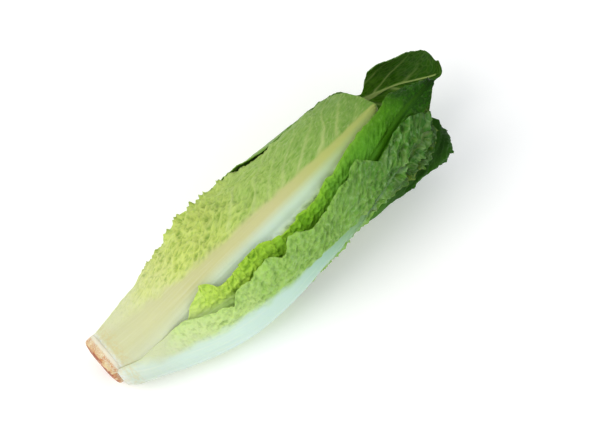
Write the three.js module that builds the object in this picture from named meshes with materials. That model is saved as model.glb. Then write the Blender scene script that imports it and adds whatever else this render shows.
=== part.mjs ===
// A romaine heart lying on its side: a cut stem and the leaves that grow from it, wrapped round
// one another. Millimetres, +Z up, +X from the cut butt to the leaf tips.
//
// Each leaf is worked out on cylindrical coordinates round the heart's own axis: s is the distance
// from the cut, angle is measured from straight up towards -Y, and r is the distance from the axis.
// The leaves are laid from the innermost outwards, each resting on what is already there.
import * as THREE from "three";

// Driving dimensions
const heartLength = 235;
const buttRadius = 14.4;
const buttAside = 2; // how far the stub stands off the leaves' axis
const buttAsideAngle = -69;
const stubLength = 6.5; // the bare stub below the lowest leaves
const shoulderRadius = 9;
const stemLength = 50;
const stemTipRadius = 2.6;
const bladeThickness = 0.8;
const layerGap = 0.6;
const axisTilt = 9.5; // degrees that the tips stand above the butt
const floorAtButt = 13.3; // distance from the axis to the table at the butt
const lastPressedLayer = 4; // the leaves that the heart's weight flattens on the table
const pressedInset = 1.5;
const degree = Math.PI / 180;

// Half-width of the closed heart at a distance from the cut.
const outline = [
  [0, 13.5],
  [8, 14.4],
  [22, 18.6],
  [40, 25],
  [62, 31],
  [85, 34],
  [110, 35.6],
  [150, 36.2],
  [180, 35],
  [205, 30],
  [222, 24],
  [250, 17],
];

// A smooth line through a few knots [at, value].
function along(knots, at) {
  if (at <= knots[0][0]) return knots[0][1];
  for (let i = 1; i < knots.length; i++) {
    const [a, before] = knots[i - 1];
    const [b, after] = knots[i];
    if (at <= b) {
      const slope = (j) => {
        const low = knots[Math.max(j - 1, 0)];
        const high = knots[Math.min(j + 1, knots.length - 1)];
        return (high[1] - low[1]) / (high[0] - low[0]);
      };
      const t = (at - a) / (b - a);
      const span = b - a;
      return (
        before * (1 + 2 * t) * (1 - t) ** 2 +
        slope(i - 1) * span * t * (1 - t) ** 2 +
        after * t * t * (3 - 2 * t) +
        slope(i) * span * t * t * (t - 1)
      );
    }
  }
  return knots[knots.length - 1][1];
}

const ease = (t) => {
  const c = Math.min(Math.max(t, 0), 1);
  return c * c * (3 - 2 * c);
};

// What has been laid so far: the outer radius over angle and distance.
const angleStep = 2;
const distanceStep = 2;
const angleCells = 360 / angleStep;
const distanceCells = Math.ceil((heartLength + 30) / distanceStep);
const laid = new Float64Array(angleCells * distanceCells);

function cellsNear(angle, s, angleReach, distanceReach, visit) {
  const a0 = Math.floor((angle - angleReach) / angleStep);
  const a1 = Math.ceil((angle + angleReach) / angleStep);
  const s0 = Math.max(Math.floor((s - distanceReach) / distanceStep), 0);
  const s1 = Math.min(Math.ceil((s + distanceReach) / distanceStep), distanceCells - 1);
  for (let a = a0; a <= a1; a++) {
    const wrapped = ((a % angleCells) + angleCells) % angleCells;
    for (let d = s0; d <= s1; d++) visit(wrapped * distanceCells + d);
  }
}

function laidNear(angle, s, angleReach, distanceReach) {
  let most = 0;
  cellsNear(angle, s, angleReach, distanceReach, (cell) => {
    most = Math.max(most, laid[cell]);
  });
  return most;
}

function lay(angle, s, r) {
  cellsNear(angle, s, 0, 0, (cell) => {
    laid[cell] = Math.max(laid[cell], r);
  });
}

// The stem: a bare stub with the cut face, a shoulder that carries the outer leaves, and a cone.
const stemRadius = (s) => {
  if (s < stubLength) return buttRadius;
  const t = (s - stubLength) / (stemLength - stubLength);
  return t > 1 ? 0 : stemTipRadius + (shoulderRadius - stemTipRadius) * (1 - t) ** 0.8;
};

function stemGeometry() {
  const profile = [
    [0, 0],
    [6, 0.1],
    [10, 0.35],
    [buttRadius - 1.6, 0.8],
    [buttRadius - 0.5, 1.4],
    [buttRadius, 2.4],
    [buttRadius + 0.1, stubLength - 0.9],
    [buttRadius - 0.6, stubLength],
    [shoulderRadius, stubLength + 0.4],
  ];
  for (const t of [0.2, 0.4, 0.6, 0.8, 1]) {
    const s = stubLength + t * (stemLength - stubLength);
    profile.push([stemRadius(s), s]);
  }
  profile.push([0, stemLength + 2]);
  const geometry = new THREE.LatheGeometry(
    profile.map(([r, s]) => new THREE.Vector2(r, s)),
    28,
  );
  const points = geometry.attributes.position;
  for (let i = 0; i < points.count; i++) {
    if (points.getY(i) > stubLength + 0.1) continue;
    points.setX(i, points.getX(i) + buttAside * Math.sin(buttAsideAngle * degree));
    points.setZ(i, points.getZ(i) + buttAside * Math.cos(buttAsideAngle * degree));
  }
  return geometry;
}

function layStem() {
  for (let angle = 0; angle < 360; angle += angleStep)
    for (let s = 0; s < stemLength + 2; s += distanceStep / 2)
      lay(angle, s, stemRadius(s) + (s < stubLength + 1 ? -4 : 0));
}

// The table, as a radius from the axis: leaves flatten where the heart lies on it.
function tableRadius(angle, s, inset) {
  const facing = -Math.cos(angle * degree);
  if (facing < 0.2) return Infinity;
  return (floorAtButt + Math.tan(axisTilt * degree) * s - inset) / facing;
}

// The leaves, outermost first. Angles are degrees from straight up; widths are millimetres of arc.
const leaves = [
  {
    name: "leaf_right_outer",
    from: 7.2,
    to: 210,
    centre: [[8, 84], [40, 90], [79, 93], [100, 92], [120, 87], [137, 80], [151, 72], [173, 61],
      [190, 53], [210, 46]],
    left: [[7, 8], [18, 9], [31, 15], [48, 21], [76, 25], [99, 28.5], [113, 28], [128, 22.5],
      [143, 22.8], [163, 21.6], [172, 13], [190, 11], [204, 8], [210, 3]],
    right: [[7, 9], [26, 12], [58, 18], [97, 20], [120, 12], [139, 4.5], [154, 4], [173, 6],
      [190, 8], [204, 8], [210, 3]],
    fit: 0.83,
    ribHeight: 3.4,
    ribWidth: [[7, 8], [25, 8], [45, 10], [70, 12.5], [95, 11], [120, 8], [137, 4], [152, 1.4],
      [210, 0.7]],
    ruffle: 1.6,
    columns: 12,
    rows: 24,
    hug: [0.25, 0.04],
    flare: {
      from: [[0, 64], [210, 64]],
      until: 420,
      reach: [[6, 0], [12, 2.4], [22, 4.8], [32, 6.8], [43, 7.8], [53, 8.5], [75, 9], [101, 7],
        [125, 3.5], [140, 1.5], [152, 0]],
    },
  },
  {
    name: "leaf_left_outer",
    from: 7.2,
    to: 242,
    centre: [[10, 225], [60, 232], [140, 238], [190, 238], [205, 236], [217, 232], [228, 221],
      [236, 211], [239, 212], [242, 224]],
    left: [[7, 9], [30, 20], [70, 42], [110, 51], [160, 46], [195, 36], [207, 30], [220, 22],
      [229, 11], [235, 4], [239, 2.5], [242, 3.5]],
    right: [[7, 8], [30, 10], [45, 13], [70, 20], [100, 28], [117, 31], [128, 38], [140, 38.5],
      [150, 35], [160, 32], [181, 30], [189, 19], [194, 10], [201.4, 10], [208.7, 20],
      [214, 25.5], [224, 25], [232.5, 21.5], [239, 14.5], [242, 4.5]],
    fit: 0.925,
    ribHeight: 3.4,
    ribWidth: [[7, 9], [40, 12], [90, 8.5], [140, 5.5], [200, 1.8], [215, 1.2]],
    ruffle: 1.2,
    columns: 14,
    rows: 24,
    hug: [0.04, 0],
    flare: {
      from: [[0, 255], [250, 255]],
      until: 420,
      reach: [[112, 0], [125, -3], [185, -3], [198, 0], [208, 0.8], [220, 0.5], [230, 0]],
    },
  },
  {
    name: "leaf_front_frilled",
    from: 16,
    to: 226,
    centre: [[16, 72], [60, 64], [110, 58], [140, 50], [160, 44], [180, 33], [200, 22], [226, 14]],
    left: [[16, 3], [40, 4], [47, 9], [54, 15.5], [64, 20.5], [72, 15], [96, 17.5], [114, 14],
      [163, 15], [177, 13], [202, 12.5], [215, 8], [226, 3]],
    right: [[16, 7], [26, 11], [60, 19], [110, 24], [160, 20], [190, 13], [210, 8.5], [219, 5.5],
      [226, 3]],
    fit: 0.83,
    ribHeight: 1.8,
    ribWidth: [[10, 7], [40, 11], [90, 7], [140, 4.5], [215, 1.2]],
    ruffle: 2,
    columns: 12,
    rows: 24,
    hug: [0.2, 0.04],
  },
  {
    name: "leaf_front_ribbed",
    from: 8,
    to: 193,
    centre: [[10, 31], [30, 27], [55, 20.5], [75, 17], [93, 15.5], [114, 13], [135, 10.4],
      [158, 6.5], [175, 2], [193, -4]],
    left: [[8, 22], [20, 26.5], [30, 30.5], [45, 35.5], [60, 39], [75, 40.5], [93, 41],
      [114, 39.5], [124, 36.5], [136, 33], [150, 39.5],
      [168, 35.5], [177, 32], [184, 27], [189, 17], [193, 6]],
    right: [[8, 8], [26, 14], [60, 24], [110, 30], [160, 27], [182, 16], [190, 7], [193, 3]],
    fit: 0.84,
    ribHeight: 3.4,
    ribWidth: [[8, 15], [30, 15], [45, 12], [58, 9.5], [75, 8], [93, 7.3], [114, 6.6], [135, 6],
      [153, 4.8], [172, 3.2], [193, 1.4]],
    ruffle: 1.6,
    columns: 12,
    rows: 22,
    hug: [0, 0.1],
    flare: {
      from: [[0, -130], [193, -130]],
      until: -36,
      reach: [[8, 3.5], [20, 2.5], [30, 0.5], [44, -2.6], [52, -4], [60, -3], [70, -0.5],
        [100, 0], [110, -1.8], [122, -1], [132, 0]],
    },
  },
  {
    name: "leaf_right_back",
    from: 8,
    to: 214,
    centre: [[8, 150], [60, 150], [120, 148], [180, 138], [214, 122]],
    left: [[8, 8], [30, 14], [70, 30], [120, 38], [170, 38], [200, 34], [210, 30], [214, 22]],
    right: [[8, 8], [30, 14], [70, 30], [120, 38], [170, 34], [198, 20], [208, 14], [214, 8]],
    fit: 0.77,
    ribHeight: 3,
    ribWidth: [[8, 8], [40, 11], [90, 7.5], [140, 5], [200, 1.4]],
    ruffle: 1.6,
    flare: {
      from: [[140, 74], [175, 77], [195, 80], [207, 90], [214, 92]],
      until: 165,
      reach: [[138, 0], [156, 4], [175, 4.3], [195, 5.7], [205, 8], [214, 9]],
    },
    columns: 12,
    rows: 20,
  },
  {
    name: "leaf_left_front",
    from: 9,
    to: 188,
    centre: [[9, 306], [60, 300], [120, 296], [188, 300]],
    left: [[9, 8], [30, 14], [70, 28], [120, 36], [160, 32], [180, 20], [188, 4]],
    right: [[9, 8], [30, 14], [70, 28], [120, 36], [160, 32], [180, 20], [188, 4]],
    fit: 0.68,
    ribHeight: 1.4,
    ribWidth: [[9, 8], [40, 10], [90, 7], [140, 4.5], [180, 1.4]],
    ruffle: 1.4,
    columns: 10,
    rows: 18,
  },
];

// Inner leaves follow the plant's spiral and get shorter and narrower towards the middle.
const innerLeaves = 7;
const spiral = 137.5;
for (let n = 0; n < innerLeaves; n++) {
  const t = n / (innerLeaves - 1);
  const from = 18 + 4.4 * n;
  const to = 186 - 9 * n - 3 * n * t;
  const reach = (share) => from + share * (to - from);
  const wide = 34 - 19 * t;
  const middle = 60 + spiral * n;
  const half = [
    [from, 6 - 3.2 * t],
    [reach(0.4), wide * 0.8],
    [reach(0.75), wide],
    [reach(0.93), wide * 0.6],
    [to, 3],
  ];
  leaves.push({
    name: `leaf_inner_${n + 1}`,
    from,
    to,
    centre: [[from, middle], [to, middle + 6]],
    left: half,
    right: half,
    fit: 0.66 - 0.46 * t,
    ribHeight: 2.2 - 1.3 * t,
    ribWidth: [[from, 6 - 3 * t], [reach(0.5), 6 - 3 * t], [to, 1]],
    ruffle: 1 - 0.5 * t,
    columns: n < 3 ? 10 : 8,
    rows: n < 3 ? 15 : 12,
  });
}

// How far the margin stands out or in at a row, so that no edge is a plain curve.
function lobe(leaf, layer, row, u, v) {
  const side = u < 0 ? 0 : 1.9;
  const depth = 0.55 * leaf.ruffle * ease(v / 0.25) * ease((1 - v) / 0.08);
  return depth * Math.sin(row * 2.3 + layer * 1.7 + side);
}

// A leaf may stand out further, or less far, over some of its angles.
function flareAt({ from, until, reach }, { angle, s }) {
  return along(reach, s) * ease((angle - along(from, s)) / 14) * ease((until - angle) / 30);
}

function leafSheet(leaf, layer) {
  const { columns, rows } = leaf;
  const points = [];
  for (let j = 0; j <= rows; j++) {
    const v = 1 - (1 - j / rows) ** 1.15;
    const s = leaf.from + v * (leaf.to - leaf.from);
    const nominal = along(outline, s) * leaf.fit;
    const line = [];
    for (let i = 0; i <= columns; i++) {
      const even = (2 * i) / columns - 1;
      const u = Math.sign(even) * Math.abs(even) ** 1.25;
      const half = along(u < 0 ? leaf.left : leaf.right, s) + lobe(leaf, layer, j, u, v);
      const arc = u * half;
      const turn = arc / Math.max(nominal, 6) / degree;
      line.push({ u, v, s, arc, angle: along(leaf.centre, s) + turn });
    }
    points.push(line);
  }
  // Where each point would lie by itself, and no lower than what is under it.
  const stepOf = (i, j) => {
    const here = points[j][i];
    const beside = points[j][i === columns ? i - 1 : i + 1];
    const above = points[j === rows ? j - 1 : j + 1][i];
    return [Math.abs(beside.angle - here.angle) * 0.55, Math.abs(above.s - here.s) * 0.55];
  };
  points.forEach((line, j) =>
    line.forEach((p, i) => {
      const [angleReach, distanceReach] = stepOf(i, j);
      const [hugLeft, hugRight] = leaf.hug ?? [0.04, 0.04];
      const own = along(outline, p.s) * leaf.fit * (1 - (p.u < 0 ? hugLeft : hugRight) * p.u ** 2);
      const flare = leaf.flare ? flareAt(leaf.flare, p) : 0;
      const table = tableRadius(p.angle, p.s, bladeThickness + layer * (bladeThickness + layerGap));
      const support = laidNear(p.angle, p.s, angleReach, distanceReach);
      const sag = 1 / Math.cos(Math.min(angleReach, 20) * degree);
      p.r = Math.max(Math.min(own + flare, table), (support + layerGap) * sag);
    }),
  );
  // Drawn taut, but never through what is under it.
  for (let pass = 0; pass < 8; pass++) {
    const next = points.map((line, j) =>
      line.map((p, i) => {
        const pair = (a, b) => (a && b ? (a.r + b.r) / 2 : p.r);
        const acrossIt = pair(line[i - 1], line[i + 1]);
        const alongIt = pair(points[j - 1]?.[i], points[j + 1]?.[i]);
        return Math.max(p.r, (acrossIt + alongIt) / 2);
      }),
    );
    points.forEach((line, j) => line.forEach((p, i) => (p.r = next[j][i])));
  }
  for (const line of points)
    for (const p of line) {
      const wave = 0.5 + 0.5 * Math.sin((p.s / 26 + layer * 0.37 + (p.u < 0 ? 0.4 : 0)) * 2 * Math.PI);
      p.r += leaf.ruffle * Math.abs(p.u) ** 3 * wave * ease(p.v / 0.3);
      const rib = along(leaf.ribWidth, p.s);
      const across = Math.min(Math.abs(p.arc) / rib, 1);
      const height = leaf.ribHeight * ease(p.v / 0.06 + 0.45) * (1 - p.v) ** 0.75;
      p.thick = bladeThickness + height * (1 - across ** 2) ** 1.5;
      if (layer <= lastPressedLayer) {
        const inset = layer === 1 ? 0 : pressedInset;
        p.r = Math.min(p.r, tableRadius(p.angle, p.s, inset) - p.thick);
      }
    }
  return points;
}

function layLeaf(points) {
  const fine = 5;
  for (let j = 1; j < points.length; j++)
    for (let i = 1; i < points[j].length; i++)
      for (let b = 0; b <= fine; b++)
        for (let a = 0; a <= fine; a++) {
          const [x, y] = [a / fine, b / fine];
          const blend = (read) =>
            read(points[j - 1][i - 1]) * (1 - x) * (1 - y) +
            read(points[j - 1][i]) * x * (1 - y) +
            read(points[j][i - 1]) * (1 - x) * y +
            read(points[j][i]) * x * y;
          lay(blend((p) => p.angle), blend((p) => p.s), blend((p) => p.r + p.thick));
        }
}

const place = ({ angle, s }, r) => [
  s,
  -r * Math.sin(angle * degree),
  r * Math.cos(angle * degree),
];

// The leaf as a closed skin: an outer face, an inner face and the rim between them.
function leafGeometry(points) {
  const rows = points.length;
  const columns = points[0].length;
  const positions = [];
  for (const line of points) for (const p of line) positions.push(...place(p, p.r + p.thick));
  for (const line of points) for (const p of line) positions.push(...place(p, p.r));
  const outer = (i, j) => j * columns + i;
  const inner = (i, j) => rows * columns + j * columns + i;
  const faces = [];
  const quad = (a, b, c, d) => faces.push(a, b, c, a, c, d);
  for (let j = 0; j < rows - 1; j++)
    for (let i = 0; i < columns - 1; i++) {
      quad(outer(i, j), outer(i + 1, j), outer(i + 1, j + 1), outer(i, j + 1));
      faces.push(inner(i, j), inner(i + 1, j + 1), inner(i + 1, j));
      faces.push(inner(i, j), inner(i, j + 1), inner(i + 1, j + 1));
    }
  for (let j = 0; j < rows - 1; j++) {
    quad(outer(0, j), outer(0, j + 1), inner(0, j + 1), inner(0, j));
    const last = columns - 1;
    quad(outer(last, j), inner(last, j), inner(last, j + 1), outer(last, j + 1));
  }
  for (let i = 0; i < columns - 1; i++) {
    quad(outer(i, 0), inner(i, 0), inner(i + 1, 0), outer(i + 1, 0));
    const last = rows - 1;
    quad(outer(i, last), outer(i + 1, last), inner(i + 1, last), inner(i, last));
  }
  const geometry = new THREE.BufferGeometry();
  geometry.setAttribute("position", new THREE.Float32BufferAttribute(positions, 3));
  geometry.setIndex(faces);
  geometry.computeVertexNormals();
  return geometry;
}

const heart = new THREE.Group();
const leafMaterial = (t) =>
  new THREE.MeshStandardMaterial({
    color: new THREE.Color(0x5f9a2f).lerp(new THREE.Color(0xdfe8a6), t),
    roughness: 0.5,
    metalness: 0,
  });

layStem();
const stem = new THREE.Mesh(
  stemGeometry(),
  new THREE.MeshStandardMaterial({ color: 0xd9c49a, roughness: 0.6, metalness: 0 }),
);
stem.name = "stem_butt";
stem.rotation.z = -Math.PI / 2;
heart.add(stem);

for (let layer = leaves.length - 1; layer >= 0; layer--) {
  const leaf = leaves[layer];
  const points = leafSheet(leaf, layer);
  layLeaf(points);
  const mesh = new THREE.Mesh(leafGeometry(points), leafMaterial(layer / leaves.length));
  mesh.name = leaf.name;
  heart.add(mesh);
}

heart.rotation.y = -axisTilt * degree;
const lying = new THREE.Group();
lying.add(heart);
lying.updateMatrixWorld(true);
const box = new THREE.Box3().setFromObject(lying, true);
lying.position.set(-(box.min.x + box.max.x) / 2, -(box.min.y + box.max.y) / 2, -box.min.z);

export default lying;
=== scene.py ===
import math

import bpy
import numpy as np
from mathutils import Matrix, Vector


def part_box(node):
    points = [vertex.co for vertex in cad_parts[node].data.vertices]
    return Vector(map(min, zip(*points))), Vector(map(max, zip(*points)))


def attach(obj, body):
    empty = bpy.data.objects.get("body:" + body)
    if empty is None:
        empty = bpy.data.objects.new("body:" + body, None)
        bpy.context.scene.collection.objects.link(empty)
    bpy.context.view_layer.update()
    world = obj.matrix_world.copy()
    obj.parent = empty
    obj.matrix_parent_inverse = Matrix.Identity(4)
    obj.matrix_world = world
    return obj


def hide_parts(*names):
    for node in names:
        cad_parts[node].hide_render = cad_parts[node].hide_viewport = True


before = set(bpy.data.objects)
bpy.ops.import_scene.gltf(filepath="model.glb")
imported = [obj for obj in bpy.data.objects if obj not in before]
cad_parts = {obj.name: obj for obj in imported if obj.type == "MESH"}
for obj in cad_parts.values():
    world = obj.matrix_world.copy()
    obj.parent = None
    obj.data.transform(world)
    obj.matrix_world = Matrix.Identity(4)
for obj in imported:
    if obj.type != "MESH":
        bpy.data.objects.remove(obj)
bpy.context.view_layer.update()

print("frame loaded, nodes:", len(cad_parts))

# A romaine heart on its side. Every leaf is worked out on the heart's own axis, in millimetres:
# s is the way from the cut, angle is counted from straight up towards -Y, r is the way from the axis.
# The leaves are laid from the innermost out, each one on what already lies there.
heart = {
    "axisTilt": 9.5,           # degrees that the tips stand above the butt
    "floorAtButt": 13.3,       # from the axis down to the surface, at the cut
    "buttRadius": 14.4,
    "buttAside": 2.0,          # from the axis to the middle of the stub
    "buttAsideAngle": -69,
    "stubLength": 6.5,
    "bladeThickness": 0.8,
    "leafGap": 0.3,
    "flareIn": 14,             # degrees over which a flare comes in, and goes out again
    "flareOut": 30,
    "tautRounds": 26,          # how long each leaf is drawn taut
    "touchingLeaves": 2,       # the outer leaves that touch the surface
    "floorClear": 0.02,        # how far above the surface they stay
    "pressedLeaves": 5,        # the outer leaves that the weight presses flat
    "pressedInset": 1.5,
    "outline": [(0, 13.5), (8, 14.4), (22, 18.6), (40, 25), (62, 31), (85, 34), (110, 35.6),
                (150, 36.2), (180, 35), (205, 30), (222, 24), (250, 17)],
}

mm = 0.001
degree = math.pi / 180
tilt = heart["axisTilt"] * degree
stubRadius = heart["buttRadius"]
stubProfile = [  # r, s
    (0, 0), (6, 0.1), (10, 0.35), (stubRadius - 1.6, 0.8), (stubRadius - 0.5, 1.4), (stubRadius, 2.4),
    (stubRadius + 0.1, heart["stubLength"] - 0.9), (stubRadius - 0.6, heart["stubLength"]),
]
asideUp = heart["buttAside"] * math.cos(heart["buttAsideAngle"] * degree)
asideY = -heart["buttAside"] * math.sin(heart["buttAsideAngle"] * degree)
stemLow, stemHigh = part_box("stem_butt")
buttCentre = np.array([
    stemLow.x + mm * max((r + asideUp) * math.sin(tilt) - s * math.cos(tilt) for r, s in stubProfile),
    (stemLow.y + stemHigh.y) / 2 - asideY * mm,
    stemLow.z + mm * max((r - asideUp) * math.cos(tilt) - s * math.sin(tilt) for r, s in stubProfile),
])  # where the axis starts


def toWorld(angle, s, r):
    y = -r * np.sin(angle * degree)
    z = r * np.cos(angle * degree)
    x = s * math.cos(tilt) - z * math.sin(tilt)
    up = s * math.sin(tilt) + z * math.cos(tilt)
    return np.stack([x, y, up], axis=-1) * mm + buttCentre


def toAxis(points):
    local = (points - buttCentre) / mm
    s = local[..., 0] * math.cos(tilt) + local[..., 2] * math.sin(tilt)
    z = -local[..., 0] * math.sin(tilt) + local[..., 2] * math.cos(tilt)
    y = local[..., 1]
    return np.degrees(np.arctan2(-y, z)), s, np.hypot(y, z)


def curve(knots, at):  # a smooth line through a few (place, value) knots
    places = np.array([k[0] for k in knots], float)
    values = np.array([k[1] for k in knots], float)
    count = len(places)
    slopes = np.array([
        (values[min(i + 1, count - 1)] - values[max(i - 1, 0)])
        / (places[min(i + 1, count - 1)] - places[max(i - 1, 0)])
        for i in range(count)
    ])
    at = np.clip(np.asarray(at, float), places[0], places[-1])
    i = np.clip(np.searchsorted(places, at, side="left") - 1, 0, count - 2)
    span = places[i + 1] - places[i]
    t = (at - places[i]) / span
    return (
        values[i] * (1 + 2 * t) * (1 - t) ** 2
        + slopes[i] * span * t * (1 - t) ** 2
        + values[i + 1] * t * t * (3 - 2 * t)
        + slopes[i + 1] * span * t * t * (t - 1)
    )


def spread(places, at):  # the matrix that carries values at some places onto finer ones
    return np.stack([curve(list(zip(places, one)), at) for one in np.eye(len(places))], axis=1)


def ease(t):
    t = np.clip(t, 0, 1)
    return t * t * (3 - 2 * t)


latticeSize = 64  # the noise repeats after this many cells


def ripple(x, y, seed):  # smooth noise from -1 to 1
    lattice = np.random.default_rng(seed).uniform(-1, 1, (latticeSize, latticeSize))
    x0 = np.floor(x).astype(int)
    y0 = np.floor(y).astype(int)
    fx = ease(x - x0)
    fy = ease(y - y0)

    def corner(i, j):
        return lattice[(x0 + i) % latticeSize, (y0 + j) % latticeSize]

    low = corner(0, 0) * (1 - fx) + corner(1, 0) * fx
    high = corner(0, 1) * (1 - fx) + corner(1, 1) * fx
    return low * (1 - fy) + high * fy


def cells(x, y, seed):  # the ways to the nearest and the next of scattered points
    scatter = np.random.default_rng(seed).uniform(0.12, 0.88, (latticeSize, latticeSize, 2))
    x0 = np.floor(x).astype(int)
    y0 = np.floor(y).astype(int)
    nearest = np.full(x.shape, 9.0)
    second = np.full(x.shape, 9.0)
    for i in (-1, 0, 1):
        for j in (-1, 0, 1):
            point = scatter[(x0 + i) % latticeSize, (y0 + j) % latticeSize]
            away = np.hypot(x0 + i + point[..., 0] - x, y0 + j + point[..., 1] - y)
            second = np.minimum(second, np.maximum(nearest, away))
            nearest = np.minimum(nearest, away)
    return nearest, second


# What has been laid so far: the outer radius over angle and way along the axis
laid = {
    "angleStep": 2.0,
    "wayStep": 1.0,
    "radius": np.zeros((180, 268)),  # steps round, steps along
}


def laidNear(angle, s, angleReach, wayReach):
    a0 = math.floor((angle - angleReach) / laid["angleStep"])
    a1 = math.ceil((angle + angleReach) / laid["angleStep"])
    s0 = max(math.floor((s - wayReach) / laid["wayStep"]), 0)
    s1 = min(math.ceil((s + wayReach) / laid["wayStep"]), laid["radius"].shape[1] - 1)
    turns = np.arange(a0, a1 + 1) % laid["radius"].shape[0]
    return laid["radius"][turns, s0:s1 + 1].max()


def lay(points):
    angle, s, r = toAxis(points)
    count, ways = laid["radius"].shape
    for da in (0, 1):
        for ds in (0, 1):
            a = (np.floor(angle / laid["angleStep"]).astype(int) + da) % count
            w = np.clip(np.floor(s / laid["wayStep"]).astype(int) + ds, 0, ways - 1)
            np.maximum.at(laid["radius"], (a.ravel(), w.ravel()), r.ravel())


def tableRadius(angle, s, inset):  # the surface, as a way from the axis
    leastFacing = 0.2
    noTable = 1e6
    facing = -np.cos(angle * degree)
    reach = heart["floorAtButt"] + math.tan(tilt) * s - inset
    return np.where(facing < leastFacing, noTable, reach / np.maximum(facing, leastFacing))


def leafHalf(leaf, s, u):  # half the width on the side of u
    left = curve(leaf["left"], s)
    right = curve(leaf["right"], s)
    return np.where(u < 0, left, right)


def drape(leaf, order):  # the leaf's inner face as a coarse net of radii
    rows, columns = leaf.get("net", (64, 22))
    v = np.linspace(0, 1, rows + 1)
    even = np.linspace(-1, 1, columns + 1)
    u = np.sign(even) * np.abs(even) ** 1.25  # closer together over the rib
    s = leaf["from"] + v * (leaf["to"] - leaf["from"])
    uu, ss = np.meshgrid(u, s)
    own = curve(heart["outline"], ss) * leaf["fit"]
    turn = uu * leafHalf(leaf, ss, uu) / np.maximum(own, 6) / degree
    angle = curve(leaf["centre"], ss) + turn
    hugLeft, hugRight = leaf.get("hug", (0.04, 0.04))
    own = own * (1 - np.where(uu < 0, hugLeft, hugRight) * uu ** 2)
    flare = 0
    if "flare" in leaf:
        first = curve(leaf["flare"]["from"], ss)
        flare = curve(leaf["flare"]["reach"], ss) * ease((angle - first) / heart["flareIn"])
        flare = flare * ease((leaf["flare"]["until"] - angle) / heart["flareOut"])
    layer = heart["bladeThickness"] + heart["leafGap"]
    table = tableRadius(angle, ss, heart["bladeThickness"] + order * layer)
    feel = 0.3  # how much of a step each net point feels around itself
    besideStep = np.abs(np.gradient(angle, axis=1)) * feel
    aheadStep = np.abs(np.gradient(ss, axis=0)) * feel
    support = np.vectorize(laidNear)(angle, ss, besideStep, aheadStep)
    sag = 1 / np.cos(np.minimum(besideStep, 20) * degree)
    r = np.maximum(np.minimum(own + flare, table), (support + heart["leafGap"]) * sag)
    for _ in range(heart["tautRounds"]):  # drawn taut, but never through what is under it
        across = r.copy()
        across[:, 1:-1] = (r[:, :-2] + r[:, 2:]) / 2
        ahead = r.copy()
        ahead[1:-1] = (r[:-2] + r[2:]) / 2
        r = np.maximum(r, (across + ahead) / 2)
    for side, depth in leaf.get("sink", {}).items():  # a margin that lies flush with what is under it
        outward = -uu if side == "left" else uu
        r = r - curve(depth, ss) * ease((outward - 0.55) / 0.45)
    return v, u, r


def veinNet(leaf, arc, s, u):  # side veins, and the puckered net between them
    veins = leaf["veins"]
    pucker = leaf["pucker"]
    seed = leaf["seed"]
    side = np.where(u < 0, 0, 1)
    out = np.abs(arc)
    steep = math.hypot(1, veins["lean"])
    wander = 2.4  # mm that a side vein strays
    across = (s - veins["lean"] * out - veins["bend"] * out ** 2) / steep
    across = across + wander * ripple(s / 16 + 9 * side, out / 12, seed)
    across = across + 0.8 * ripple(s / 5, out / 6 + 7 * side, seed + 1)
    along = out * steep + wander * ripple(s / 12 + 5, out / 9 + 7 * side, seed + 2)
    index = across / veins["spacing"] + 0.5 * side
    index = index + 0.3 * ripple(across / veins["spacing"] / 2.3 + 3 * side, across * 0, seed + 3)
    offset = np.abs(index - np.round(index)) * veins["spacing"]
    strong = 0.35 + 0.65 * np.random.default_rng(seed + 4).random(256)[np.round(index).astype(int) % 256]
    width = veins["width"] * (0.4 + 0.9 * np.exp(-out / 9))
    vein = np.exp(-((offset / width) ** 2)) * strong * np.exp(-out / veins.get("fade", 34))
    nets = []
    for number, (long, wide) in enumerate(pucker["cells"]):
        near, further = cells(across / wide + 31 * side, along / long + 13 * number, seed + 5 + number)
        nets.append(ease((further - near) / 0.6))
    crease = 1 - np.abs(ripple(across / 2.6 + 11 * side, along / 6.5, seed + 8))
    return vein, nets, crease ** 2, np.stack([across + 40 * side, along], axis=-1)


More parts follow.
